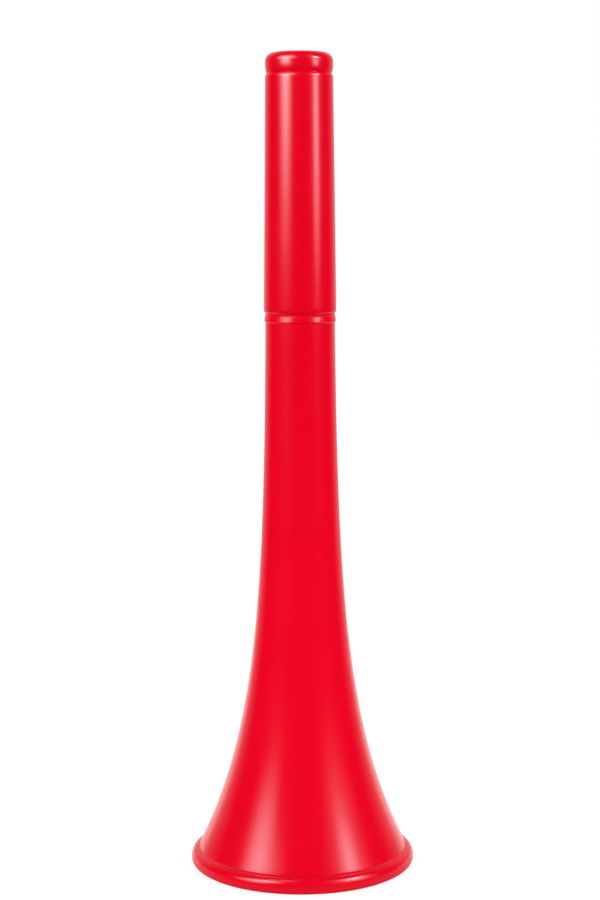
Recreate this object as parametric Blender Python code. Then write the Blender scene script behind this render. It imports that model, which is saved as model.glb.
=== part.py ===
"""A collapsible stadium horn, pushed in and standing on its bell.

Four plastic mouldings: a flared bell that ends in a tapered spigot, a tube that slides in the spigot, a sleeve
that covers the spigot and is carried by the tube, and a mouthpiece pressed into the tube's end.
The floor is at height 0 and the horn's axis is Z. All sizes are in metres.
"""

import math

import bmesh
import bpy

# Fits between the mouldings
SEAT_GAP = 0.0003  # between faces that rest on each other or are pressed together
SLIDE_CLEARANCE = 0.0003  # all round, between the pieces that slide

# Slide tube
TUBE_RADIUS = 0.0110
TUBE_WALL = 0.0012
TUBE_FOOT_HEIGHT = 0.0200  # floor to the tube's foot, pushed in
RING_PROUD = 0.0010  # guide band and stop ring, beyond the tube
RING_HEIGHT = 0.0040
RING_SPACING = 0.0300  # foot of the guide band to foot of the stop ring
RING_BEVEL = 0.0006
TUBE_EDGE = 0.0003

# Spigot at the top of the bell
SPIGOT_WALL = 0.0013
SPIGOT_LIP = 0.0025  # thickness of the inward lip that stops the tube
SPIGOT_HEADROOM = 0.00765  # spigot's end to the sleeve's cap wall, pushed in
SPIGOT_LEAD_IN = 0.0020
TAPER = 0.011  # radius that spigot and sleeve lose for each unit of height

# Sleeve
SLEEVE_LENGTH = 0.10555
SLEEVE_WALL = 0.0013
SLEEVE_CAP = 0.0020
SLEEVE_TOP_ROUND_WIDTH = 0.0010
SLEEVE_TOP_ROUND_HEIGHT = 0.0018
SLEEVE_FOOT_ROUND_WIDTH = 0.0009
SLEEVE_FOOT_ROUND_HEIGHT = 0.0017
SOCKET_DEPTH = 0.0045  # collar under the cap wall, round the tube's end
SOCKET_WALL = 0.0012

# Bell
RIM_RADIUS = 0.0510
BELL_LENGTH = 0.2521  # floor to the seat that the sleeve rests on
BELL_WALL = 0.0018
FLARE_DECAY = 0.0620  # height in which the flare closes to 1/e
FLARE_STRETCH = 1.034  # above 1, the flare closes faster towards the neck than a plain exponential
NECK_SETBACK = 0.00065  # neck inside the foot of the sleeve
BEAD_PROUD = 0.00053
BEAD_TOP_ROUND = 0.0028  # sleeve's seat down to the bead's widest ring
BEAD_FOOT_ROUND = 0.0015  # bead's widest ring down to the neck
LIP_FOOT_ROUND = 0.0024
LIP_LAND = 0.0010  # upright band between the lip's two roundings
LIP_TOP_ROUND = 0.0042
LIP_TOP_TURN = math.radians(50)  # how far the top rounding turns inwards from the rim
SHOULDER_WIDTH = 0.0007  # ledge from the top rounding to the step
STEP_HEIGHT = 0.0002  # upright face of the step
STEP_ROUND = 0.0003
LEDGE_WIDTH = 0.0013  # ledge from the step to the flare's foot
LEDGE_FALL = 0.45  # both ledges fall this much towards the rim for each unit of width
MOUTH_EDGE = 0.0006

# Mouthpiece
MOUTHPIECE_HEIGHT = 0.0090
RIM_ROUND_HEIGHT = 0.0039
RIM_INNER_ROUND = 0.0016
SEAT_ROUND_WIDTH = 0.0009
SEAT_ROUND_HEIGHT = 0.0042
CUP_RADIUS = 0.0092
CUP_DEPTH = 0.0110
THROAT_RADIUS = 0.0050
THROAT_LENGTH = 0.0040
SHANK_LENGTH = 0.0180
SHANK_END_WALL = 0.0012
SHANK_LEAD_IN = 0.0006

# Finish
RED = (0.81, 0.0015, 0.018, 1.0)
ROUGHNESS = 0.22

# Facets round each piece, and points along its curves
BELL_SIDES = 64
SLEEVE_SIDES = 48
TUBE_SIDES = 36
MOUTHPIECE_SIDES = 40
FLARE_STEPS = 18
INNER_FLARE_STEPS = 12
FLARE_BIAS = 1.4  # above 1, the flare's rings lie closer together towards the mouth
SHARP_ANGLE = math.radians(35)

# Lip, from its top rounding in to the flare's foot
LIP_ROUND_CENTRE = (RIM_RADIUS - LIP_TOP_ROUND, LIP_FOOT_ROUND + LIP_LAND)
SHOULDER_RADIUS = LIP_ROUND_CENTRE[0] + LIP_TOP_ROUND * math.cos(LIP_TOP_TURN)
SHOULDER_HEIGHT = LIP_ROUND_CENTRE[1] + LIP_TOP_ROUND * math.sin(LIP_TOP_TURN)
STEP_RADIUS = SHOULDER_RADIUS - SHOULDER_WIDTH
STEP_FOOT = SHOULDER_HEIGHT + LEDGE_FALL * SHOULDER_WIDTH
STEP_CENTRE = (STEP_RADIUS - STEP_ROUND, STEP_FOOT + STEP_HEIGHT)
STEP_TURN = math.radians(90) - math.atan(LEDGE_FALL)
FLARE_FOOT_RADIUS = STEP_CENTRE[0] + STEP_ROUND * math.cos(STEP_TURN) - LEDGE_WIDTH
FLARE_FOOT = STEP_CENTRE[1] + STEP_ROUND * math.sin(STEP_TURN) + LEDGE_FALL * LEDGE_WIDTH

# Heights that follow, from the floor up
BEAD_HEIGHT = BELL_LENGTH - BEAD_TOP_ROUND
NECK_HEIGHT = BEAD_HEIGHT - BEAD_FOOT_ROUND
SLEEVE_FOOT = BELL_LENGTH + SEAT_GAP
SLEEVE_TOP = SLEEVE_FOOT + SLEEVE_LENGTH
CAP_UNDERSIDE = SLEEVE_TOP - SLEEVE_CAP
SPIGOT_END = CAP_UNDERSIDE - SPIGOT_HEADROOM
TUBE_LENGTH = CAP_UNDERSIDE - SEAT_GAP - TUBE_FOOT_HEIGHT
MOUTHPIECE_SEAT = SLEEVE_TOP + SEAT_GAP

# Radii that follow, from the tube outwards
TUBE_BORE = TUBE_RADIUS - TUBE_WALL
RING_RADIUS = TUBE_RADIUS + RING_PROUD
SHANK_RADIUS = TUBE_BORE - SEAT_GAP
CAP_HOLE = SHANK_RADIUS + SEAT_GAP
SOCKET_RADIUS = TUBE_RADIUS + SEAT_GAP
LIP_HOLE = TUBE_RADIUS + SLIDE_CLEARANCE


def spigot_bore(height):
    """Radius inside the spigot: the rings' running clearance at its end, and the taper below."""
    return RING_RADIUS + SLIDE_CLEARANCE + TAPER * (SPIGOT_END - height)


def spigot_outside(height):
    return spigot_bore(height) + SPIGOT_WALL


def sleeve_bore(height):
    return spigot_outside(height) + SLIDE_CLEARANCE


def sleeve_outside(height):
    return sleeve_bore(height) + SLEEVE_WALL


NECK_RADIUS = sleeve_outside(SLEEVE_FOOT) - NECK_SETBACK
MOUTHPIECE_RADIUS = sleeve_outside(SLEEVE_TOP)


def flare_width(height):
    """The flare's exponential: 1 at its foot, and falling towards the neck."""
    return math.exp(-(((height - FLARE_FOOT) / FLARE_DECAY) ** FLARE_STRETCH))


def flare_radius(height):
    """Outside of the bell, from the lip's ledge to the neck, which it meets exactly."""
    closed = flare_width(NECK_HEIGHT)
    share = (flare_width(height) - closed) / (1 - closed)
    return NECK_RADIUS + (FLARE_FOOT_RADIUS - NECK_RADIUS) * share


def flare_heights(steps):
    """Heights of the flare's rings, from its foot up to the neck."""
    rise = NECK_HEIGHT - FLARE_FOOT
    return [FLARE_FOOT + rise * (step / steps) ** FLARE_BIAS for step in range(steps + 1)]


def arc(centre, width, height, start, end, steps):
    """Points on an elliptical arc. Angles are in degrees: 0 faces outwards, 90 up and -90 down."""
    points = []
    for step in range(steps + 1):
        angle = math.radians(start + (end - start) * step / steps)
        radius = centre[0] + width * math.cos(angle)
        level = centre[1] + height * math.sin(angle)
        points.append((radius, level))
    return points


def lip_outline():
    """The step's rounding, the ledge under it, and the lip over the rim and down to the floor."""
    foot_centre = (RIM_RADIUS - LIP_FOOT_ROUND, LIP_FOOT_ROUND)
    points = arc(STEP_CENTRE, STEP_ROUND, STEP_ROUND, math.degrees(STEP_TURN), 0, 3)
    points.append((STEP_RADIUS, STEP_FOOT))
    points += arc(LIP_ROUND_CENTRE, LIP_TOP_ROUND, LIP_TOP_ROUND, math.degrees(LIP_TOP_TURN), 0, 6)
    points += arc(foot_centre, LIP_FOOT_ROUND, LIP_FOOT_ROUND, 0, -90, 5)
    return points


def bead_outline():
    """The low bead round the neck, from the sleeve's seat down to the neck."""
    centre = (NECK_RADIUS, BEAD_HEIGHT)
    top = arc(centre, BEAD_PROUD, BEAD_TOP_ROUND, 90, 0, 5)
    foot = arc(centre, BEAD_PROUD, BEAD_FOOT_ROUND, 0, -90, 4)
    return top + foot[1:]


def spigot_outline():
    """Outside of the spigot, from its end down to the seat."""
    shoulder = SPIGOT_END - SPIGOT_LEAD_IN
    inset = SPIGOT_WALL / 2
    return [
        (spigot_outside(SPIGOT_END) - inset, SPIGOT_END),
        (spigot_outside(shoulder), shoulder),
        (spigot_outside(BELL_LENGTH), BELL_LENGTH),
    ]


def bell_outline():
    """Down the outside from the spigot's end to the floor, then up the inside to the stop lip."""
    outer_flare = [(flare_radius(z), z) for z in flare_heights(FLARE_STEPS)]
    inner_flare = [(flare_radius(z) - BELL_WALL, z) for z in flare_heights(INNER_FLARE_STEPS)]
    mouth_radius = FLARE_FOOT_RADIUS - BELL_WALL
    lip_underside = SPIGOT_END - SPIGOT_LIP
    points = spigot_outline()
    points += bead_outline()
    points += outer_flare[-2::-1]
    points += lip_outline()
    points += arc((mouth_radius + MOUTH_EDGE, MOUTH_EDGE), MOUTH_EDGE, MOUTH_EDGE, 270, 180, 3)
    points += inner_flare
    points.append((spigot_bore(BELL_LENGTH), BELL_LENGTH))
    points.append((spigot_bore(lip_underside), lip_underside))
    points.append((LIP_HOLE, lip_underside))
    points.append((LIP_HOLE, SPIGOT_END))
    return points


def ring_outline(foot, stops):
    """A ring round the tube, from its top down. A stop ring's top is square, a guide band's is bevelled."""
    top = foot + RING_HEIGHT
    bevel = RING_BEVEL
    points = [(TUBE_RADIUS, top)]
    if stops:
        points.append((RING_RADIUS, top))
    else:
        points.append((RING_RADIUS, top - bevel))
    points.append((RING_RADIUS, foot + bevel))
    points.append((TUBE_RADIUS, foot))
    return points


def tube_outline():
    """Down the outside of the slide tube and up its bore, from the tube's own foot."""
    points = [(TUBE_BORE, TUBE_LENGTH)]
    points.append((TUBE_RADIUS - TUBE_EDGE, TUBE_LENGTH))
    points.append((TUBE_RADIUS, TUBE_LENGTH - TUBE_EDGE))
    points += ring_outline(RING_SPACING, True)
    points += ring_outline(0, False)
    points.append((TUBE_BORE, 0))
    return points


def sleeve_outline():
    """Down the outside of the sleeve, up its bore and round the collar, from the sleeve's own foot."""
    top_radius = sleeve_outside(SLEEVE_TOP)
    foot_radius = sleeve_outside(SLEEVE_FOOT)
    top_centre = (top_radius - SLEEVE_TOP_ROUND_WIDTH, SLEEVE_LENGTH - SLEEVE_TOP_ROUND_HEIGHT)
    foot_centre = (foot_radius - SLEEVE_FOOT_ROUND_WIDTH, SLEEVE_FOOT_ROUND_HEIGHT)
    cap = SLEEVE_LENGTH - SLEEVE_CAP
    collar_foot = cap - SOCKET_DEPTH
    points = arc(top_centre, SLEEVE_TOP_ROUND_WIDTH, SLEEVE_TOP_ROUND_HEIGHT, 90, 0, 6)
    points += arc(foot_centre, SLEEVE_FOOT_ROUND_WIDTH, SLEEVE_FOOT_ROUND_HEIGHT, 0, -90, 5)
    points.append((sleeve_bore(SLEEVE_FOOT), 0))
    points.append((sleeve_bore(CAP_UNDERSIDE), cap))
    points.append((SOCKET_RADIUS + SOCKET_WALL, cap))
    points.append((SOCKET_RADIUS + SOCKET_WALL, collar_foot))
    points.append((SOCKET_RADIUS, collar_foot))
    points.append((SOCKET_RADIUS, cap))
    points.append((CAP_HOLE, cap))
    points.append((CAP_HOLE, SLEEVE_LENGTH))
    return points


def cup_outline(top, steps):
    """The cup, a bowl that narrows from the throat's top up to its full radius."""
    points = []
    for step in range(steps, -1, -1):
        depth = step / steps
        radius = THROAT_RADIUS + (CUP_RADIUS - THROAT_RADIUS) * (1 - depth**2)
        points.append((radius, top - depth * CUP_DEPTH))
    return points


def mouthpiece_outline():
    """Down the outside of the mouthpiece and its shank, then up the backbore, throat and cup to the rim."""
    crest = CUP_RADIUS + RIM_INNER_ROUND
    rim_centre = (crest, MOUTHPIECE_HEIGHT - RIM_ROUND_HEIGHT)
    seat_centre = (MOUTHPIECE_RADIUS - SEAT_ROUND_WIDTH, SEAT_ROUND_HEIGHT)
    cup_top = MOUTHPIECE_HEIGHT - RIM_INNER_ROUND
    throat_top = cup_top - CUP_DEPTH
    points = arc(rim_centre, MOUTHPIECE_RADIUS - crest, RIM_ROUND_HEIGHT, 90, 0, 8)
    points += arc(seat_centre, SEAT_ROUND_WIDTH, SEAT_ROUND_HEIGHT, 0, -90, 5)
    points.append((SHANK_RADIUS, 0))
    points.append((SHANK_RADIUS, SHANK_LEAD_IN - SHANK_LENGTH))
    points.append((SHANK_RADIUS - SHANK_LEAD_IN, -SHANK_LENGTH))
    points.append((SHANK_RADIUS - SHANK_END_WALL, -SHANK_LENGTH))
    points.append((THROAT_RADIUS, throat_top - THROAT_LENGTH))
    points += cup_outline(cup_top, 7)
    points += arc((crest, cup_top), RIM_INNER_ROUND, RIM_INNER_ROUND, 180, 90, 5)[1:-1]
    return points


def plastic(name):
    """Red gloss plastic."""
    material = bpy.data.materials.new(name)
    material.use_nodes = True
    shader = material.node_tree.nodes["Principled BSDF"]
    shader.inputs["Base Color"].default_value = RED
    shader.inputs["Roughness"].default_value = ROUGHNESS
    shader.inputs["Metallic"].default_value = 0.0
    return material


def turned(name, outline, sides):
    """An object made by spinning a closed outline of (radius, height) points about Z."""
    mesh = bpy.data.meshes.new(name)
    shape = bmesh.new()
    corners = [shape.verts.new((radius, 0.0, height)) for radius, height in outline]
    for first, second in zip(corners, corners[1:] + corners[:1]):
        shape.edges.new((first, second))
    bmesh.ops.spin(
        shape,
        geom=shape.verts[:] + shape.edges[:],
        axis=(0.0, 0.0, 1.0),
        cent=(0.0, 0.0, 0.0),
        angle=math.tau,
        steps=sides,
        use_merge=True,
    )
    bmesh.ops.recalc_face_normals(shape, faces=shape.faces)
    shape.to_mesh(mesh)
    shape.free()
    mesh.shade_smooth()
    mesh.set_sharp_from_angle(angle=SHARP_ANGLE)
    mesh.materials.append(plastic(name + "_plastic"))
    piece = bpy.data.objects.new(name, mesh)
    bpy.context.scene.collection.objects.link(piece)
    return piece


def clear_scene():
    for thing in list(bpy.data.objects):
        bpy.data.objects.remove(thing, do_unlink=True)


def slide_axis():
    """Empty on the horn's axis, which carries everything that is pulled out of the bell."""
    axis = bpy.data.objects.new("slide_axis", None)
    axis.empty_display_type = "SINGLE_ARROW"
    bpy.context.scene.collection.objects.link(axis)
    return axis


def place(piece, parent, height):
    piece.parent = parent
    piece.location = (0.0, 0.0, height)


def build_bell():
    return turned("bell", bell_outline(), BELL_SIDES)


def build_slide_tube(parent):
    place(turned("slide_tube", tube_outline(), TUBE_SIDES), parent, TUBE_FOOT_HEIGHT)


def build_sleeve(parent):
    place(turned("sleeve", sleeve_outline(), SLEEVE_SIDES), parent, SLEEVE_FOOT)


def build_mouthpiece(parent):
    place(turned("mouthpiece", mouthpiece_outline(), MOUTHPIECE_SIDES), parent, MOUTHPIECE_SEAT)


def main():
    clear_scene()
    build_bell()
    axis = slide_axis()
    build_slide_tube(axis)
    build_sleeve(axis)
    build_mouthpiece(axis)


if __name__ == "__main__":
    main()
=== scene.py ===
"""Dresses the collapsible horn: fine turned mouldings, moulded red plastic, and a pale studio round it.

The CAD frame gives every place. Sizes are in metres, the floor is at height 0 and the horn's axis is Z.
"""

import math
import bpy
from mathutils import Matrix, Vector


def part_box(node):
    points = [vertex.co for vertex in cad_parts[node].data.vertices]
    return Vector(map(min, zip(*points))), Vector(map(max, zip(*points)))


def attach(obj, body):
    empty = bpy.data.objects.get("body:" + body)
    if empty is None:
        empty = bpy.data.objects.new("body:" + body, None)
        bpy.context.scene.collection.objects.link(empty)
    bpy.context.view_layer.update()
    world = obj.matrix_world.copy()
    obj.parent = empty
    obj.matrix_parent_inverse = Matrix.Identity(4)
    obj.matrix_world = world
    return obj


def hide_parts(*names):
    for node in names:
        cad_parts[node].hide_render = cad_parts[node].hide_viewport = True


bl_info = {
    "name": "Collapsible Horn",
    "version": (1, 0, 0),
    "blender": (4, 5, 0),
    "location": "3D View > Sidebar > Horn",
    "description": "Builds the mouldings of a telescoping plastic horn and the studio that it stands in",
    "category": "Object",
}

from typing import NamedTuple

import bmesh
import bpy
from bpy.props import FloatProperty, FloatVectorProperty, IntProperty, PointerProperty
from bpy.types import Operator, Panel, PropertyGroup
from mathutils import Matrix, Vector

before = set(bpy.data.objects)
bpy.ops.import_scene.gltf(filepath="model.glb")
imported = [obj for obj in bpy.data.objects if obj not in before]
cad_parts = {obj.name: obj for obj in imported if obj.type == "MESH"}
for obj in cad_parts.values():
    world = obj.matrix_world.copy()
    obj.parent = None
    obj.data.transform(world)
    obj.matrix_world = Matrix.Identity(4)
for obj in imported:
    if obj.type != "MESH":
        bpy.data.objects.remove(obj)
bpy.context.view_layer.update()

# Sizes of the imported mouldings, which the defaults below come from
BELL_LOW, BELL_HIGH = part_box("bell")
TUBE_LOW, TUBE_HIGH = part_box("slide_tube")
SLEEVE_LOW, SLEEVE_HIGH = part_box("sleeve")
MOUTHPIECE_LOW, MOUTHPIECE_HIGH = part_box("mouthpiece")


class HornBellSize(PropertyGroup):
    """The flared bell and its spigot."""

    rim_radius: FloatProperty(
        name="Rim radius",
        description="Half the width of the lip that the horn stands on",
        default=BELL_HIGH[0],
        unit="LENGTH",
    )
    spigot_end: FloatProperty(
        name="Spigot end",
        description="Height of the spigot's end above the floor",
        default=BELL_HIGH[2],
        unit="LENGTH",
    )
    seat_height: FloatProperty(
        name="Seat height",
        description="Height of the bead's top, which the sleeve rests on",
        default=SLEEVE_LOW[2] - 0.00004,
        unit="LENGTH",
    )
    wall: FloatProperty(
        name="Wall",
        description="Thickness of the flare",
        default=0.0018,
        unit="LENGTH",
    )
    decay: FloatProperty(
        name="Flare decay",
        description="Height in which the flare closes to 1/e",
        default=0.0620,
        unit="LENGTH",
    )
    stretch: FloatProperty(
        name="Flare stretch",
        description="Above 1, the flare closes faster towards the neck than a plain exponential",
        default=1.034,
    )
    neck_setback: FloatProperty(
        name="Neck setback",
        description="How far the neck lies inside the foot of the sleeve",
        default=0.00065,
        unit="LENGTH",
    )
    groove: FloatProperty(
        name="Groove",
        description="Height of the upright groove between the sleeve's seat and the bead",
        default=0.00105,
        unit="LENGTH",
    )
    bead_proud: FloatProperty(
        name="Bead proud",
        description="How far the bead stands out from the neck at its widest ring",
        default=0.00047,
        unit="LENGTH",
    )
    bead_crown: FloatProperty(
        name="Bead crown",
        description="Height of the rounding at the bead's top edge",
        default=0.00022,
        unit="LENGTH",
    )
    bead_band: FloatProperty(
        name="Bead band",
        description="Height of the bead's band, which widens downwards",
        default=0.0022,
        unit="LENGTH",
    )
    bead_slope: FloatProperty(
        name="Bead slope",
        description="How far the bead's band leans from upright",
        default=math.radians(6.8),
        subtype="ANGLE",
        unit="ROTATION",
    )
    bead_foot_round: FloatProperty(
        name="Bead foot round",
        description="From the bead's widest ring down to the neck",
        default=0.00058,
        unit="LENGTH",
    )
    lip_foot_round: FloatProperty(
        name="Lip foot round",
        description="Radius of the rounding at the lip's foot",
        default=0.0024,
        unit="LENGTH",
    )
    lip_land: FloatProperty(
        name="Lip land",
        description="Upright band between the lip's two roundings",
        default=0.0010,
        unit="LENGTH",
    )
    lip_top_round: FloatProperty(
        name="Lip top round",
        description="Radius of the rounding over the rim",
        default=0.0042,
        unit="LENGTH",
    )
    lip_top_turn: FloatProperty(
        name="Lip top turn",
        description="How far the top rounding turns inwards from the rim",
        default=math.radians(50),
        unit="ROTATION",
    )
    shoulder_width: FloatProperty(
        name="Shoulder width",
        description="Ledge from the top rounding to the step",
        default=0.0007,
        unit="LENGTH",
    )
    step_height: FloatProperty(
        name="Step height",
        description="Upright face of the step above the lip",
        default=0.0002,
        unit="LENGTH",
    )
    step_round: FloatProperty(
        name="Step round",
        description="Rounding of the step's edge",
        default=0.0003,
        unit="LENGTH",
    )
    ledge_width: FloatProperty(
        name="Ledge width",
        description="Ledge from the step to the flare's foot",
        default=0.0013,
        unit="LENGTH",
    )
    ledge_fall: FloatProperty(
        name="Ledge fall",
        description="How much both ledges fall towards the rim for each unit of width",
        default=0.45,
    )
    mouth_edge: FloatProperty(
        name="Mouth edge",
        description="Rounding of the inner edge of the mouth",
        default=0.0006,
        unit="LENGTH",
    )
    spigot_wall: FloatProperty(
        name="Spigot wall",
        description="Thickness of the spigot inside the sleeve",
        default=0.0013,
        unit="LENGTH",
    )
    spigot_lip: FloatProperty(
        name="Spigot lip",
        description="Thickness of the inward lip that stops the tube",
        default=0.0025,
        unit="LENGTH",
    )
    lead_in: FloatProperty(
        name="Lead-in",
        description="Length of the spigot's tapered end",
        default=0.0020,
        unit="LENGTH",
    )
    sides: IntProperty(
        name="Sides",
        description="Facets round the bell",
        default=192,
        min=16,
    )


class HornTubeSize(PropertyGroup):
    """The slide tube inside the horn."""

    radius: FloatProperty(
        name="Radius",
        description="Outside radius of the tube",
        default=0.0110,
        unit="LENGTH",
    )
    wall: FloatProperty(
        name="Wall",
        description="Thickness of the tube",
        default=0.0012,
        unit="LENGTH",
    )
    ring_radius: FloatProperty(
        name="Ring radius",
        description="Outside radius of the guide band and the stop ring",
        default=TUBE_HIGH[0],
        unit="LENGTH",
    )
    ring_height: FloatProperty(
        name="Ring height",
        description="Height of each ring",
        default=0.0040,
        unit="LENGTH",
    )
    ring_spacing: FloatProperty(
        name="Ring spacing",
        description="Foot of the guide band to foot of the stop ring",
        default=0.0300,
        unit="LENGTH",
    )
    edge: FloatProperty(
        name="Edge",
        description="Rounding of the tube's edges",
        default=0.0003,
        unit="LENGTH",
    )
    ring_bevel: FloatProperty(
        name="Ring bevel",
        description="Rounding of the rings' edges",
        default=0.0006,
        unit="LENGTH",
    )
    sides: IntProperty(
        name="Sides",
        description="Facets round the tube",
        default=96,
        min=16,
    )


class HornSleeveSize(PropertyGroup):
    """The outer sleeve between the bead and the mouthpiece."""

    wall: FloatProperty(
        name="Wall",
        description="Thickness of the sleeve",
        default=0.0013,
        unit="LENGTH",
    )
    cap: FloatProperty(
        name="Cap",
        description="Thickness of the cap wall at the sleeve's top",
        default=0.0020,
        unit="LENGTH",
    )
    taper: FloatProperty(
        name="Taper",
        description="Radius that the sleeve and the spigot lose for each unit of height",
        default=0.011,
    )
    top_round_width: FloatProperty(
        name="Top round width",
        description="Width of the rounding at the sleeve's top",
        default=0.0010,
        unit="LENGTH",
    )
    top_round_height: FloatProperty(
        name="Top round height",
        description="Height of the rounding at the sleeve's top",
        default=0.0018,
        unit="LENGTH",
    )
    foot_round_width: FloatProperty(
        name="Foot round width",
        description="Width of the rounding at the sleeve's foot",
        default=0.0009,
        unit="LENGTH",
    )
    foot_round_height: FloatProperty(
        name="Foot round height",
        description="Height of the rounding at the sleeve's foot",
        default=0.0017,
        unit="LENGTH",
    )
    socket_depth: FloatProperty(
        name="Socket depth",
        description="Depth of the collar under the cap wall",
        default=0.0045,
        unit="LENGTH",
    )
    socket_wall: FloatProperty(
        name="Socket wall",
        description="Thickness of the collar round the tube's end",
        default=0.0012,
        unit="LENGTH",
    )
    sides: IntProperty(
        name="Sides",
        description="Facets round the sleeve",
        default=144,
        min=16,
    )


class HornMouthpieceSize(PropertyGroup):
    """The rim, cup, throat and shank that the player blows."""

    rim_round_height: FloatProperty(
        name="Rim round height",
        description="Height of the rounding outside the rim",
        default=0.0039,
        unit="LENGTH",
    )
    rim_inner_round: FloatProperty(
        name="Rim inner round",
        description="Rounding of the rim towards the cup",
        default=0.0016,
        unit="LENGTH",
    )
    seat_round_width: FloatProperty(
        name="Seat round width",
        description="Width of the rounding where it meets the sleeve",
        default=0.0009,
        unit="LENGTH",
    )
    seat_round_height: FloatProperty(
        name="Seat round height",
        description="Height of the rounding where it meets the sleeve",
        default=0.0042,
        unit="LENGTH",
    )
    cup_radius: FloatProperty(
        name="Cup radius",
        description="Radius of the cup at the rim",
        default=0.0092,
        unit="LENGTH",
    )
    cup_depth: FloatProperty(
        name="Cup depth",
        description="Depth of the cup",
        default=0.0110,
        unit="LENGTH",
    )
    throat_radius: FloatProperty(
        name="Throat radius",
        description="Radius of the hole at the cup's bottom",
        default=0.0050,
        unit="LENGTH",
    )
    throat_length: FloatProperty(
        name="Throat length",
        description="Length of the narrow throat",
        default=0.0040,
        unit="LENGTH",
    )
    end_wall: FloatProperty(
        name="End wall",
        description="Thickness of the shank at its end",
        default=0.0012,
        unit="LENGTH",
    )
    lead_in: FloatProperty(
        name="Lead-in",
        description="Bevel of the shank's end",
        default=0.0006,
        unit="LENGTH",
    )
    sides: IntProperty(
        name="Sides",
        description="Facets round the mouthpiece",
        default=144,
        min=16,
    )


class HornFinish(PropertyGroup):
    """The moulded plastic."""

    red: FloatVectorProperty(
        name="Red",
        description="Colour of the plastic",
        default=(0.81, 0.0008, 0.0165),
        subtype="COLOR",
        min=0.0,
        max=1.0,
    )
    roughness: FloatProperty(
        name="Roughness",
        description="Roughness of the gloss skin",
        default=0.172,
        subtype="FACTOR",
        min=0.0,
        max=1.0,
    )
    grain: FloatProperty(
        name="Skin relief",
        description="Height of the mould's faint waves in the skin",
        default=0.00001,
        unit="LENGTH",
    )


class HornStudio(PropertyGroup):
    """The floor, the lamps and the camera."""

    camera_distance: FloatProperty(
        name="Camera distance",
        description="From the horn's axis to the camera",
        default=0.900,
        unit="LENGTH",
    )
    camera_height: FloatProperty(
        name="Camera height",
        description="Height of the camera above the floor",
        default=0.2954,
        unit="LENGTH",
    )
    camera_side: FloatProperty(
        name="Camera side step",
        description="How far the camera stands to the right of the horn",
        default=-0.000325,
        unit="LENGTH",
    )
    camera_tilt: FloatProperty(
        name="Camera tilt",
        description="How far the camera looks down",
        default=math.radians(6.646),
        unit="ROTATION",
    )
    camera_roll: FloatProperty(
        name="Camera roll",
        description="Turn of the camera about its line of sight",
        default=math.radians(-0.25),
        unit="ROTATION",
    )
    lens: FloatProperty(
        name="Lens",
        description="Focal length on a 36 mm sensor",
        default=80.25,
        unit="CAMERA",
    )
    fill: FloatProperty(
        name="Fill",
        description="Strength of each fill lamp in the ring",
        default=1.59,
    )
    room: FloatProperty(
        name="Room",
        description="What gloss shows of the dim room on the camera's side",
        default=0.009,
    )
    backdrop: FloatProperty(
        name="Backdrop",
        description="What gloss shows of the white backdrop behind the horn",
        default=0.65,
    )
    soft_boxes: FloatProperty(
        name="Soft boxes",
        description="Strength of the soft boxes. At 1, each has the strength in its own row",
        default=1.0,
    )
    cool: FloatVectorProperty(
        name="Soft box colour",
        description="Cool colour of the soft boxes' light",
        default=(0.45, 1.0, 1.08),
        subtype="COLOR",
    )


class HornSettings(PropertyGroup):
    """Everything that a user may change."""

    bell: PointerProperty(type=HornBellSize)
    tube: PointerProperty(type=HornTubeSize)
    sleeve: PointerProperty(type=HornSleeveSize)
    mouthpiece: PointerProperty(type=HornMouthpieceSize)
    finish: PointerProperty(type=HornFinish)
    studio: PointerProperty(type=HornStudio)


SLIDE_CLEARANCE = 0.0003
SEAT_GAP = 0.00004
SKIRT_TURN = 74
SKIRT_DROP = 0.00012
BEAD_EDGE_START = 55
BEAD_FILLET = 0.0001
BEAD_RINGS = 16
BEAD_FOOT_TURN = 62
BEAD_FOOT_SHARE = 0.85
SHARP_ANGLE = math.radians(35)
FLARE_BIAS = 1.4

LAMP_ENERGY = 4.0
FILL_RING = 6
FILL_RISE = 0.265
FILL_ABOVE = 0.16
FILL_ANGLE = math.radians(70)
FLOOR_LOW = (-0.4, -0.3)
FLOOR_HIGH = (0.4, 2.4)
FLOOR_COLOUR = 0.3
FLOOR_GLOW = 0.79
# Depth of the floor in front of the horn that glossy rays see black: painted shade in the lip's reflection
PAINTED_SHADE_FRONT = (-0.08, 0.06)
# Strength and reach of the painted bounce light: the floor round the lip glows for diffuse rays alone
PAINTED_BOUNCE = 0.35
PAINTED_BOUNCE_REACH = (0.06, 0.16)
BACKDROP_DIRECTION = (0.0, 1.0, 0.0)
BACKDROP_EDGE = (0.215, 1.01)


class SoftBox(NamedTuple):
    """A soft box that stands upright and faces the horn. Its light fades towards its edges."""

    name: str
    azimuth: float  # degrees from the camera's side
    distance: float  # from the horn's axis
    strength: float
    core: float  # half width at full strength
    fade: float  # width of the fade beyond the core
    foot: float  # height where its light begins
    full: float  # height where it is strongest
    fall: float  # height where it begins to fade
    top: float


SOFT_BOXES = (
    SoftBox("Front soft box left", -42.92, 0.5625, 12.66, 0.0037, 0.2320, 0.2521, 0.5582, 0.3497, 0.9138),
    SoftBox("Far soft box left", -54.42, 1.3785, 5.215, 0.0, 0.5851, 0.2398, 0.7043, 0.7232, 1.7682),
    SoftBox("Near soft box left", -46.15, 0.2000, 18.76, 0.0385, 0.1479, 0.3794, 0.5172, 0.0173, 0.7710),
    SoftBox("Front soft box right", 56.88, 0.7638, 10.78, 0.0, 0.2138, 0.2464, 0.3955, -0.0571, 0.9338),
    SoftBox("Far soft box right", 57.39, 2.5000, 0.958, 0.0272, 1.5000, 0.2119, 0.9106, 3.4106, 4.5625),
    SoftBox("High soft box right", 63.87, 0.8973, 33.51, 0.0617, 0.2119, 0.7177, 0.7802, 0.6423, 1.1109),
)


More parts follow.
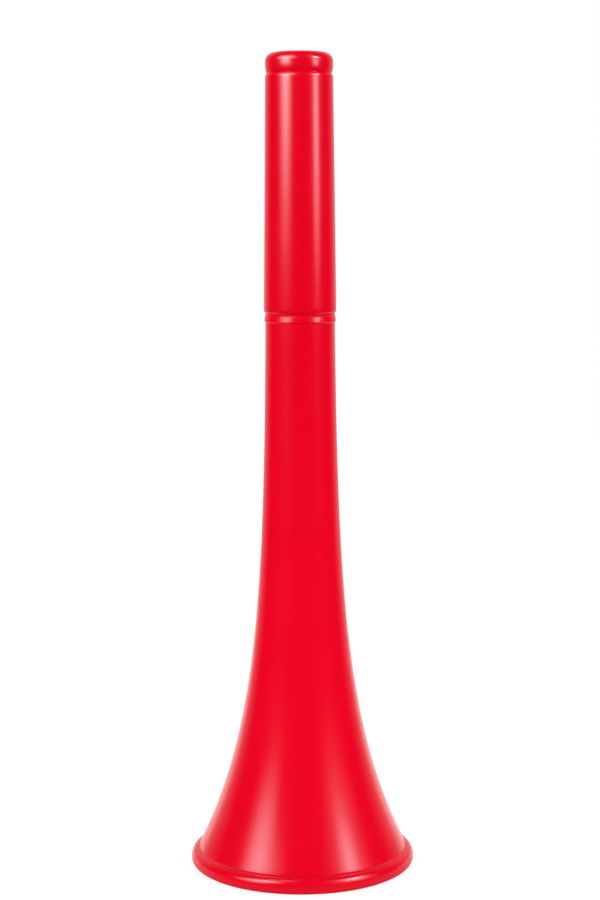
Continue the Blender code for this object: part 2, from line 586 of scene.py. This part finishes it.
def arc(centre, width, height, start, end, steps):
    """Points on an elliptical arc. Angles are in degrees: 0 faces outwards, 90 up and -90 down."""
    points = []
    for step in range(steps + 1):
        angle = math.radians(start + (end - start) * step / steps)
        points.append((centre[0] + width * math.cos(angle), centre[1] + height * math.sin(angle)))
    return points


def straight(first, last, steps):
    """Points between two corners of an outline, without the corners themselves."""
    a, b = Vector(first), Vector(last)
    return [tuple(a.lerp(b, step / steps)) for step in range(1, steps)]


class Fits:
    """Radii and heights that the mouldings share."""

    def __init__(self, settings):
        self.settings = settings
        bell = settings.bell
        self.neck_radius = self.sleeve_outside(SLEEVE_LOW[2]) - bell.neck_setback
        self.bead_top = bell.seat_height - bell.groove
        self.bead_widest = self.bead_top - bell.bead_crown - bell.bead_band
        self.neck_height = self.bead_widest - bell.bead_foot_round
        self.lip_centre = (bell.rim_radius - bell.lip_top_round, bell.lip_foot_round + bell.lip_land)
        self.lip_turn = math.degrees(bell.lip_top_turn)
        shoulder = arc(self.lip_centre, bell.lip_top_round, bell.lip_top_round, self.lip_turn, 0, 1)[0]
        self.step_radius = shoulder[0] - bell.shoulder_width
        self.step_foot = shoulder[1] + bell.ledge_fall * bell.shoulder_width
        self.step_centre = (self.step_radius - bell.step_round, self.step_foot + bell.step_height)
        self.step_turn = 90 - math.degrees(math.atan(bell.ledge_fall))
        edge = arc(self.step_centre, bell.step_round, bell.step_round, self.step_turn, 0, 1)[0]
        self.flare_foot = edge[0] - bell.ledge_width
        self.flare_low = edge[1] + bell.ledge_fall * bell.ledge_width

    def spigot_bore(self, height):
        rise = self.settings.bell.spigot_end - height
        return self.settings.tube.ring_radius + SLIDE_CLEARANCE + self.settings.sleeve.taper * rise

    def spigot_outside(self, height):
        return self.spigot_bore(height) + self.settings.bell.spigot_wall

    def sleeve_bore(self, height):
        return self.spigot_outside(height) + SLIDE_CLEARANCE

    def sleeve_outside(self, height):
        return self.sleeve_bore(height) + self.settings.sleeve.wall

    def flare_width(self, height):
        """The flare's exponential: 1 at its foot, and falling towards the neck."""
        bell = self.settings.bell
        return math.exp(-(((height - self.flare_low) / bell.decay) ** bell.stretch))

    def flare_radius(self, height):
        """Outside of the bell, from the lip's ledge to the neck."""
        closed = self.flare_width(self.neck_height)
        share = (self.flare_width(height) - closed) / (1 - closed)
        return self.neck_radius + (self.flare_foot - self.neck_radius) * share

    def flare_heights(self, steps):
        """Heights of the flare's rings, from its foot up to the neck."""
        rise = self.neck_height - self.flare_low
        return [self.flare_low + rise * (step / steps) ** FLARE_BIAS for step in range(steps + 1)]


def bead_outline(bell, fits):
    """Down the groove under the sleeve, round the bead's top edge, down its sloping band and in to the neck."""
    neck, proud = fits.neck_radius, bell.bead_proud
    slope = math.degrees(bell.bead_slope)
    crown = proud - bell.bead_band * math.tan(bell.bead_slope)
    edge = arc((neck, fits.bead_top - bell.bead_crown), crown, bell.bead_crown, BEAD_EDGE_START, slope, 8)
    foot = arc((neck, fits.bead_widest), proud, bell.bead_foot_round * BEAD_FOOT_SHARE, slope, -BEAD_FOOT_TURN, 10)
    points = [(neck, bell.seat_height), (neck, fits.bead_top + BEAD_FILLET)]
    return points + edge + straight(edge[-1], foot[0], BEAD_RINGS) + foot


def bell_outline(settings, fits):
    """Down the outside from the spigot's end to the floor, then up the inside to the stop lip."""
    bell = settings.bell
    end = bell.spigot_end
    shoulder = end - bell.lead_in
    points = [
        (fits.spigot_outside(end) - bell.spigot_wall / 2, end),
        (fits.spigot_outside(shoulder), shoulder),
        (fits.spigot_outside(bell.seat_height), bell.seat_height),
    ]
    points += bead_outline(bell, fits)
    points += [(fits.flare_radius(z), z) for z in fits.flare_heights(90)][::-1]
    points += arc(fits.step_centre, bell.step_round, bell.step_round, fits.step_turn, 0, 8)
    points.append((fits.step_radius, fits.step_foot))
    points += arc(fits.lip_centre, bell.lip_top_round, bell.lip_top_round, fits.lip_turn, 0, 18)
    foot_centre = (bell.rim_radius - bell.lip_foot_round, bell.lip_foot_round)
    points += arc(foot_centre, bell.lip_foot_round, bell.lip_foot_round, 0, -90, 16)
    mouth = fits.flare_foot - bell.wall
    edge = bell.mouth_edge
    points += arc((mouth + edge, edge), edge, edge, 270, 180, 6)
    points += [(fits.flare_radius(z) - bell.wall, z) for z in fits.flare_heights(60)]
    underside = end - bell.spigot_lip
    lip_hole = settings.tube.radius + SLIDE_CLEARANCE
    points.append((fits.spigot_bore(bell.seat_height), bell.seat_height))
    points.append((fits.spigot_bore(underside), underside))
    points.append((lip_hole, underside))
    points.append((lip_hole, end))
    return points


def ring_outline(tube, foot, stops):
    """A ring round the tube, from its top down. A stop ring's top is square, a guide band's is bevelled."""
    top = foot + tube.ring_height
    points = [(tube.radius, top)]
    if stops:
        points.append((tube.ring_radius, top))
    else:
        points.append((tube.ring_radius, top - tube.ring_bevel))
    points.append((tube.ring_radius, foot + tube.ring_bevel))
    points.append((tube.radius, foot))
    return points


def tube_outline(settings):
    """Down the outside of the slide tube and up its bore."""
    tube = settings.tube
    foot, top = TUBE_LOW[2], TUBE_HIGH[2]
    bore = tube.radius - tube.wall
    points = [(bore, top)]
    points += arc((tube.radius - tube.edge, top - tube.edge), tube.edge, tube.edge, 90, 0, 4)
    points += ring_outline(tube, foot + tube.ring_spacing, True)
    points += ring_outline(tube, foot, False)
    points.append((bore, foot))
    return points


def sleeve_outline(settings, fits):
    """Down the outside of the sleeve, up its bore and round the collar under the cap wall."""
    sleeve = settings.sleeve
    foot, top = SLEEVE_LOW[2], SLEEVE_HIGH[2]
    width, height = sleeve.top_round_width, sleeve.top_round_height
    points = arc((fits.sleeve_outside(top) - width, top - height), width, height, 90, 0, 14)
    foot_centre = (fits.sleeve_outside(foot) - sleeve.foot_round_width, foot + sleeve.foot_round_height)
    foot_arc = arc(foot_centre, sleeve.foot_round_width, sleeve.foot_round_height, 0, -90, 14)
    points += straight(points[-1], foot_arc[0], 40)
    points += foot_arc
    cap = top - sleeve.cap
    collar = settings.tube.radius + SLIDE_CLEARANCE
    collar_foot = cap - sleeve.socket_depth
    hole = settings.tube.radius - settings.tube.wall
    points.append((fits.sleeve_bore(foot), foot))
    points.append((fits.sleeve_bore(cap), cap))
    points.append((collar + sleeve.socket_wall, cap))
    points.append((collar + sleeve.socket_wall, collar_foot))
    points.append((collar, collar_foot))
    points.append((collar, cap))
    points.append((hole, cap))
    points.append((hole, top))
    return points


def mouthpiece_outline(settings, fits):
    """Down the outside of the mouthpiece and its shank, then up the backbore, throat and cup to the rim."""
    piece = settings.mouthpiece
    top = MOUTHPIECE_HIGH[2]
    foot = MOUTHPIECE_LOW[2]
    seat = SLEEVE_HIGH[2] + SEAT_GAP
    outside = fits.sleeve_outside(SLEEVE_HIGH[2])
    crest = piece.cup_radius + piece.rim_inner_round
    shank = settings.tube.radius - settings.tube.wall - SLIDE_CLEARANCE
    cup_top = top - piece.rim_inner_round
    throat_top = cup_top - piece.cup_depth
    points = arc((crest, top - piece.rim_round_height), outside - crest, piece.rim_round_height, 90, 0, 24)
    seat_centre = (outside - piece.seat_round_width, seat + piece.seat_round_height)
    points += arc(seat_centre, piece.seat_round_width, piece.seat_round_height, 0, -SKIRT_TURN, 16)
    points.append((points[-1][0], seat - SKIRT_DROP))
    points.append((shank, seat))
    points.append((shank, foot + piece.lead_in))
    points.append((shank - piece.lead_in, foot))
    points.append((shank - piece.end_wall, foot))
    points.append((piece.throat_radius, throat_top - piece.throat_length))
    steps = 20
    for step in range(steps, -1, -1):
        depth = step / steps
        radius = piece.throat_radius + (piece.cup_radius - piece.throat_radius) * (1 - depth**2)
        points.append((radius, cup_top - depth * piece.cup_depth))
    points += arc((crest, cup_top), piece.rim_inner_round, piece.rim_inner_round, 180, 90, 12)[1:-1]
    return points


def turned(name, outline, sides):
    """A mesh made by turning a closed outline of (radius, height) points about Z."""
    mesh = bpy.data.meshes.new(name)
    shape = bmesh.new()
    rings = []
    for radius, height in outline:
        ring = []
        for side in range(sides):
            angle = math.tau * side / sides
            ring.append(shape.verts.new((radius * math.cos(angle), radius * math.sin(angle), height)))
        rings.append(ring)
    for ring, following in zip(rings, rings[1:] + rings[:1]):
        for side in range(sides):
            after = (side + 1) % sides
            shape.faces.new((ring[side], following[side], following[after], ring[after]))
    bmesh.ops.recalc_face_normals(shape, faces=shape.faces)
    shape.to_mesh(mesh)
    shape.free()
    mesh.shade_smooth()
    mesh.set_sharp_from_angle(angle=SHARP_ANGLE)
    piece = bpy.data.objects.new(name, mesh)
    bpy.context.scene.collection.objects.link(piece)
    return piece


def dress(name, outline, sides, node, body, material):
    """Turns one moulding, gives it its plastic and puts it in its node's place."""
    piece = turned(name, outline, sides)
    piece.data.materials.append(material)
    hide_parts(node)
    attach(piece, body)
    return piece


def node_at(tree, kind, x, y, **values):
    """A node with its place in the editor and values for its inputs."""
    node = tree.nodes.new(kind)
    node.location = (x, y)
    for key, value in values.items():
        node.inputs[key.replace("_", " ")].default_value = value
    return node


def moulded_skin_group():
    """Node group: the faint flow, waves and handling of a gloss moulding."""
    name = "Moulded skin"
    if name in bpy.data.node_groups:
        return bpy.data.node_groups[name]
    group = bpy.data.node_groups.new(name, "ShaderNodeTree")
    face = group.interface
    colour_in = face.new_socket("Colour", in_out="INPUT", socket_type="NodeSocketColor")
    colour_in.default_value = (0.8, 0.0, 0.0, 1.0)
    for label, value in (("Roughness", 0.2), ("Flow", 0.05), ("Handling", 0.05), ("Scale", 1.0)):
        face.new_socket(label, in_out="INPUT", socket_type="NodeSocketFloat").default_value = value
    face.new_socket("Colour", in_out="OUTPUT", socket_type="NodeSocketColor")
    face.new_socket("Roughness", in_out="OUTPUT", socket_type="NodeSocketFloat")
    face.new_socket("Height", in_out="OUTPUT", socket_type="NodeSocketFloat")
    links = group.links
    inside = node_at(group, "NodeGroupInput", -1200, 0)
    outside = node_at(group, "NodeGroupOutput", 600, 0)
    place = node_at(group, "ShaderNodeTexCoord", -1200, -400)

    stretch = node_at(group, "ShaderNodeMapping", -1000, -300)
    stretch.inputs["Scale"].default_value = (1.0, 1.0, 0.25)
    links.new(place.outputs["Object"], stretch.inputs["Vector"])
    flow = node_at(group, "ShaderNodeTexNoise", -800, -200, Scale=45.0, Detail=3.0, Roughness=0.45)
    links.new(stretch.outputs["Vector"], flow.inputs["Vector"])
    shade = node_at(group, "ShaderNodeMapRange", -600, -200)
    shade.inputs["To Min"].default_value = -1.0
    links.new(flow.outputs["Fac"], shade.inputs["Value"])
    amount = node_at(group, "ShaderNodeMath", -400, -200)
    amount.operation = "MULTIPLY_ADD"
    amount.inputs[2].default_value = 1.0
    links.new(shade.outputs["Result"], amount.inputs[0])
    links.new(inside.outputs["Flow"], amount.inputs[1])
    tint = node_at(group, "ShaderNodeVectorMath", 200, 100)
    tint.operation = "SCALE"
    links.new(inside.outputs["Colour"], tint.inputs["Vector"])
    links.new(amount.outputs["Value"], tint.inputs["Scale"])
    links.new(tint.outputs["Vector"], outside.inputs["Colour"])

    smudge = node_at(group, "ShaderNodeTexNoise", -800, -500, Scale=28.0, Detail=5.0, Roughness=0.6)
    links.new(place.outputs["Object"], smudge.inputs["Vector"])
    patches = node_at(group, "ShaderNodeMapRange", -600, -500)
    patches.inputs["From Min"].default_value = 0.45
    patches.inputs["From Max"].default_value = 0.75
    links.new(smudge.outputs["Fac"], patches.inputs["Value"])
    handled = node_at(group, "ShaderNodeMath", -200, -400)
    handled.operation = "MULTIPLY_ADD"
    links.new(patches.outputs["Result"], handled.inputs[0])
    links.new(inside.outputs["Handling"], handled.inputs[1])
    links.new(inside.outputs["Roughness"], handled.inputs[2])
    links.new(handled.outputs["Value"], outside.inputs["Roughness"])

    waves = node_at(group, "ShaderNodeTexNoise", -800, -800, Scale=320.0, Detail=2.0, Roughness=0.4)
    links.new(place.outputs["Object"], waves.inputs["Vector"])
    sized = node_at(group, "ShaderNodeMath", -500, -800)
    sized.operation = "MULTIPLY"
    links.new(waves.outputs["Fac"], sized.inputs[0])
    links.new(inside.outputs["Scale"], sized.inputs[1])
    links.new(sized.outputs["Value"], outside.inputs["Height"])
    return group


def plastic(name, finish, flow, handling):
    """Red gloss plastic with the skin that its mould leaves."""
    material = bpy.data.materials.new(name)
    material.use_nodes = True
    tree = material.node_tree
    shader = tree.nodes["Principled BSDF"]
    shader.inputs["IOR"].default_value = 1.5
    shader.inputs["Coat Weight"].default_value = 0.0
    skin = tree.nodes.new("ShaderNodeGroup")
    skin.node_tree = moulded_skin_group()
    skin.location = (-500, 200)
    skin.inputs["Colour"].default_value = (*finish.red, 1.0)
    skin.inputs["Roughness"].default_value = finish.roughness
    skin.inputs["Flow"].default_value = flow
    skin.inputs["Handling"].default_value = handling
    skin.inputs["Scale"].default_value = 1.0
    relief = node_at(tree, "ShaderNodeBump", -250, -100, Strength=1.0, Distance=finish.grain)
    tree.links.new(skin.outputs["Colour"], shader.inputs["Base Color"])
    tree.links.new(skin.outputs["Roughness"], shader.inputs["Roughness"])
    tree.links.new(skin.outputs["Height"], relief.inputs["Height"])
    tree.links.new(relief.outputs["Normal"], shader.inputs["Normal"])
    return material


class HORN_OT_bell(Operator):
    """Build the flared bell with its lip, bead and spigot"""

    bl_idname = "horn.bell"
    bl_label = "Bell"

    def execute(self, context):
        settings = context.scene.horn
        fits = Fits(settings)
        material = plastic("bell_plastic", settings.finish, 0.03, 0.05)
        outline = bell_outline(settings, fits)
        dress("bell_moulding", outline, settings.bell.sides, "bell", "horn_bell", material)
        return {"FINISHED"}


class HORN_OT_slide_tube(Operator):
    """Build the tube that slides in the spigot"""

    bl_idname = "horn.slide_tube"
    bl_label = "Slide tube"

    def execute(self, context):
        settings = context.scene.horn
        material = plastic("tube_plastic", settings.finish, 0.03, 0.08)
        outline = tube_outline(settings)
        dress("tube_moulding", outline, settings.tube.sides, "slide_tube", "pull_out", material)
        return {"FINISHED"}


class HORN_OT_sleeve(Operator):
    """Build the outer sleeve"""

    bl_idname = "horn.sleeve"
    bl_label = "Sleeve"

    def execute(self, context):
        settings = context.scene.horn
        fits = Fits(settings)
        material = plastic("sleeve_plastic", settings.finish, 0.03, 0.05)
        outline = sleeve_outline(settings, fits)
        dress("sleeve_moulding", outline, settings.sleeve.sides, "sleeve", "pull_out", material)
        return {"FINISHED"}


class HORN_OT_mouthpiece(Operator):
    """Build the mouthpiece with its cup, throat and shank"""

    bl_idname = "horn.mouthpiece"
    bl_label = "Mouthpiece"

    def execute(self, context):
        settings = context.scene.horn
        fits = Fits(settings)
        material = plastic("mouthpiece_plastic", settings.finish, 0.03, 0.04)
        outline = mouthpiece_outline(settings, fits)
        sides = settings.mouthpiece.sides
        dress("mouthpiece_moulding", outline, sides, "mouthpiece", "pull_out", material)
        return {"FINISHED"}


def seen_directly(tree, x, y):
    """One for camera, glossy and transmission rays, so that gloss shows the background too."""
    path = node_at(tree, "ShaderNodeLightPath", x, y)
    first = node_at(tree, "ShaderNodeMath", x + 200, y)
    first.operation = "MAXIMUM"
    second = node_at(tree, "ShaderNodeMath", x + 400, y)
    second.operation = "MAXIMUM"
    tree.links.new(path.outputs["Is Camera Ray"], first.inputs[0])
    tree.links.new(path.outputs["Is Glossy Ray"], first.inputs[1])
    tree.links.new(first.outputs["Value"], second.inputs[0])
    tree.links.new(path.outputs["Is Transmission Ray"], second.inputs[1])
    return second.outputs["Value"]


def backdrop_share(tree, x, y):
    """One for directions well behind the horn, and none on the camera's side."""
    place = node_at(tree, "ShaderNodeTexCoord", x, y)
    along = node_at(tree, "ShaderNodeVectorMath", x + 200, y)
    along.operation = "DOT_PRODUCT"
    along.inputs[1].default_value = BACKDROP_DIRECTION
    tree.links.new(place.outputs["Generated"], along.inputs[0])
    share = node_at(tree, "ShaderNodeMapRange", x + 400, y)
    share.interpolation_type = "SMOOTHSTEP"
    share.inputs["From Min"].default_value = BACKDROP_EDGE[0]
    share.inputs["From Max"].default_value = BACKDROP_EDGE[1]
    tree.links.new(along.outputs["Value"], share.inputs["Value"])
    return share.outputs["Result"]


def studio_world(studio):
    """Gloss shows a white backdrop and a dim room, and the camera sees white."""
    world = bpy.data.worlds.new("Studio")
    world.use_nodes = True
    tree = world.node_tree
    tree.nodes.clear()
    out = node_at(tree, "ShaderNodeOutputWorld", 900, 0)
    light = node_at(tree, "ShaderNodeBackground", 700, 0, Color=(1.0, 1.0, 1.0, 1.0))
    room = node_at(tree, "ShaderNodeMapRange", 100, 200)
    room.inputs["To Min"].default_value = studio.room
    room.inputs["To Max"].default_value = studio.backdrop
    tree.links.new(backdrop_share(tree, -700, 200), room.inputs["Value"])
    path = node_at(tree, "ShaderNodeLightPath", 100, 500)
    shown = node_at(tree, "ShaderNodeMath", 300, 300)
    shown.operation = "MAXIMUM"
    tree.links.new(room.outputs["Result"], shown.inputs[0])
    tree.links.new(path.outputs["Is Camera Ray"], shown.inputs[1])
    strength = times(tree, seen_directly(tree, -300, -200), shown.outputs["Value"], 500, 0)
    tree.links.new(strength, light.inputs["Strength"])
    tree.links.new(light.outputs["Background"], out.inputs["Surface"])
    world.cycles.sampling_method = "NONE"
    bpy.context.scene.world = world


def floor_share_with_painted_shade(tree, place):
    """How much of the floor is shown: all of it, but for gloss none in front of the horn. There the floor is
    painted black for glossy rays alone: painted shade in the lip's reflection.
    """
    along = node_at(tree, "ShaderNodeSeparateXYZ", -1500, 300)
    tree.links.new(place, along.inputs["Vector"])
    front = ramp(tree, along.outputs["Y"], PAINTED_SHADE_FRONT[1], PAINTED_SHADE_FRONT[0], -1300, 300)
    path = node_at(tree, "ShaderNodeLightPath", -1300, 600)
    # Painted shade: glossy rays see the floor in front of the horn black
    painted_shade = times(tree, front, path.outputs["Is Glossy Ray"], -1000, 300)
    shown = node_at(tree, "ShaderNodeMath", -800, 300)
    shown.operation = "SUBTRACT"
    shown.inputs[0].default_value = 1.0
    tree.links.new(painted_shade, shown.inputs[1])
    return shown.outputs["Value"]


def painted_bounce_glow(tree, place):
    """Painted bounce light: the floor round the lip glows for diffuse rays alone, so matt colours near it are
    brighter.
    """
    distance = node_at(tree, "ShaderNodeVectorMath", -1500, -600)
    distance.operation = "LENGTH"
    tree.links.new(place, distance.inputs[0])
    near = ramp(tree, distance.outputs["Value"], PAINTED_BOUNCE_REACH[1], PAINTED_BOUNCE_REACH[0], -1300, -600)
    path = node_at(tree, "ShaderNodeLightPath", -1300, -900)
    return scaled(tree, times(tree, near, path.outputs["Is Diffuse Ray"], -1000, -600), PAINTED_BOUNCE, -800, -600)


def floor_material():
    """Pale floor: white to the camera where nothing shades it. For gloss it is painted black in front of the horn
    (painted shade), and round the lip it glows for diffuse rays (painted bounce light).
    """
    material = bpy.data.materials.new("Floor")
    material.use_nodes = True
    tree = material.node_tree
    shader = tree.nodes["Principled BSDF"]
    shader.inputs["Roughness"].default_value = 0.9
    shader.inputs["Specular IOR Level"].default_value = 0.0
    shader.inputs["Emission Color"].default_value = (1.0, 1.0, 1.0, 1.0)
    place = node_at(tree, "ShaderNodeNewGeometry", -1700, 0).outputs["Position"]
    # shown is below one where the floor is painted black for glossy rays: painted shade
    shown = floor_share_with_painted_shade(tree, place)
    tree.links.new(scaled(tree, shown, FLOOR_COLOUR, -600, 300), shader.inputs["Base Color"])
    glow = times(tree, seen_directly(tree, -1200, -200), scaled(tree, shown, FLOOR_GLOW, -600, 0), -400, 0)
    strength = node_at(tree, "ShaderNodeMath", -200, -100)
    tree.links.new(glow, strength.inputs[0])
    # Painted bounce light: the floor's glow near the lip, seen by diffuse rays alone
    tree.links.new(painted_bounce_glow(tree, place), strength.inputs[1])
    tree.links.new(strength.outputs["Value"], shader.inputs["Emission Strength"])
    material.cycles.emission_sampling = "NONE"
    return material


def lay_floor():
    mesh = bpy.data.meshes.new("Floor")
    left, front = FLOOR_LOW
    right, back = FLOOR_HIGH
    corners = [(left, front, 0.0), (right, front, 0.0), (right, back, 0.0), (left, back, 0.0)]
    mesh.from_pydata(corners, [], [(0, 1, 2, 3)])
    mesh.materials.append(floor_material())
    floor = bpy.data.objects.new("Floor", mesh)
    bpy.context.scene.collection.objects.link(floor)


def ramp(tree, value, first, last, x, y):
    """A smooth ramp from none at the first value to one at the last."""
    node = node_at(tree, "ShaderNodeMapRange", x, y)
    node.interpolation_type = "SMOOTHSTEP"
    node.inputs["From Min"].default_value = min(first, last)
    node.inputs["From Max"].default_value = max(first, last)
    node.inputs["To Min"].default_value = 0.0 if first < last else 1.0
    node.inputs["To Max"].default_value = 1.0 if first < last else 0.0
    tree.links.new(value, node.inputs["Value"])
    return node.outputs["Result"]


def times(tree, first, second, x, y):
    node = node_at(tree, "ShaderNodeMath", x, y)
    node.operation = "MULTIPLY"
    tree.links.new(first, node.inputs[0])
    tree.links.new(second, node.inputs[1])
    return node.outputs["Value"]


def scaled(tree, value, factor, x, y):
    node = node_at(tree, "ShaderNodeMath", x, y)
    node.operation = "MULTIPLY"
    node.inputs[1].default_value = factor
    tree.links.new(value, node.inputs[0])
    return node.outputs["Value"]


def box_pattern(tree, box, across):
    """Where a soft box is bright: a core that fades to its sides, its foot and its top."""
    place = node_at(tree, "ShaderNodeNewGeometry", -1000, 0)
    side = node_at(tree, "ShaderNodeVectorMath", -800, 200)
    side.operation = "DOT_PRODUCT"
    side.inputs[1].default_value = across
    tree.links.new(place.outputs["Position"], side.inputs[0])
    distance = node_at(tree, "ShaderNodeMath", -600, 200)
    distance.operation = "ABSOLUTE"
    tree.links.new(side.outputs["Value"], distance.inputs[0])
    height = node_at(tree, "ShaderNodeSeparateXYZ", -800, -200)
    tree.links.new(place.outputs["Position"], height.inputs["Vector"])
    sides = ramp(tree, distance.outputs["Value"], box.core + box.fade, box.core, -400, 200)
    foot = ramp(tree, height.outputs["Z"], box.foot, box.full, -400, -100)
    top = ramp(tree, height.outputs["Z"], box.top, box.fall, -400, -400)
    return times(tree, times(tree, sides, foot, -200, 100), top, 0, 0)


def fill_lamp(name, direction, strength):
    """A wide soft lamp for matt light alone, so that gloss shows the backdrop and the soft boxes."""
    light = bpy.data.lights.new(name, "SUN")
    light.energy = strength
    light.angle = FILL_ANGLE
    light.cycles.use_multiple_importance_sampling = False
    lamp = bpy.data.objects.new(name, light)
    bpy.context.scene.collection.objects.link(lamp)
    lamp.rotation_euler = Vector(direction).to_track_quat("Z", "Y").to_euler()
    lamp.visible_glossy = False
    lamp.visible_transmission = False


def fill_lamps(strength):
    """A ring of fill lamps round the horn and a weaker one above it."""
    for index in range(FILL_RING):
        angle = math.tau * index / FILL_RING
        fill_lamp(f"Fill {index}", (math.sin(angle), -math.cos(angle), FILL_RISE), strength)
    fill_lamp("Fill above", (0.0, 0.0, 1.0), FILL_ABOVE * strength)


def soft_box(box, strength, colour):
    """A lamp that only gloss shows, because the fill already lights the matt colours."""
    light = bpy.data.lights.new(box.name, "AREA")
    light.color = colour
    light.shape = "RECTANGLE"
    light.size = 2 * (box.core + box.fade)
    light.size_y = box.top - box.foot
    light.energy = LAMP_ENERGY * strength * box.strength * light.size * light.size_y
    panel = bpy.data.objects.new(box.name, light)
    bpy.context.scene.collection.objects.link(panel)
    angle = math.radians(box.azimuth)
    away = Vector((math.sin(angle), -math.cos(angle), 0.0))
    across = Vector((math.cos(angle), math.sin(angle), 0.0))
    panel.location = away * box.distance + Vector((0.0, 0.0, (box.foot + box.top) / 2))
    panel.rotation_euler = away.to_track_quat("Z", "Y").to_euler()
    panel.visible_camera = False
    panel.visible_diffuse = False
    light.use_nodes = True
    tree = light.node_tree
    emission = tree.nodes["Emission"]
    tree.links.new(box_pattern(tree, box, across), emission.inputs["Strength"])


def place_camera(studio):
    data = bpy.data.cameras.new("Camera")
    data.lens = studio.lens
    camera = bpy.data.objects.new("Camera", data)
    bpy.context.scene.collection.objects.link(camera)
    place = Matrix.Translation((studio.camera_side, -studio.camera_distance, studio.camera_height))
    tilt = Matrix.Rotation(math.radians(90) - studio.camera_tilt, 4, "X")
    roll = Matrix.Rotation(studio.camera_roll, 4, "Z")
    camera.matrix_world = place @ tilt @ roll
    bpy.context.scene.camera = camera


class HORN_OT_studio(Operator):
    """Lay the pale floor and set up the lamps and the camera"""

    bl_idname = "horn.studio"
    bl_label = "Studio"

    def execute(self, context):
        studio = context.scene.horn.studio
        studio_world(studio)
        lay_floor()
        fill_lamps(studio.fill)
        for box in SOFT_BOXES:
            soft_box(box, studio.soft_boxes, studio.cool)
        place_camera(studio)
        context.scene.view_settings.view_transform = "Standard"
        return {"FINISHED"}


class HORN_PT_panel(Panel):
    """Lists the horn's pieces and its studio."""

    bl_idname = "HORN_PT_panel"
    bl_label = "Collapsible Horn"
    bl_space_type = "VIEW_3D"
    bl_region_type = "UI"
    bl_category = "Horn"

    def draw(self, context):
        layout = self.layout
        for operator in OPERATORS:
            layout.operator(operator.bl_idname)
        finish = context.scene.horn.finish
        layout.prop(finish, "red")
        layout.prop(finish, "roughness")


GROUPS = (
    HornBellSize,
    HornTubeSize,
    HornSleeveSize,
    HornMouthpieceSize,
    HornFinish,
    HornStudio,
    HornSettings,
)
OPERATORS = (HORN_OT_bell, HORN_OT_slide_tube, HORN_OT_sleeve, HORN_OT_mouthpiece, HORN_OT_studio)


def register():
    for item in GROUPS + OPERATORS + (HORN_PT_panel,):
        bpy.utils.register_class(item)
    bpy.types.Scene.horn = PointerProperty(type=HornSettings)


def unregister():
    del bpy.types.Scene.horn
    for item in reversed(GROUPS + OPERATORS + (HORN_PT_panel,)):
        bpy.utils.unregister_class(item)


def main():
    register()
    bpy.ops.horn.bell()
    bpy.ops.horn.slide_tube()
    bpy.ops.horn.sleeve()
    bpy.ops.horn.mouthpiece()
    bpy.ops.horn.studio()


if __name__ == "__main__":
    main()
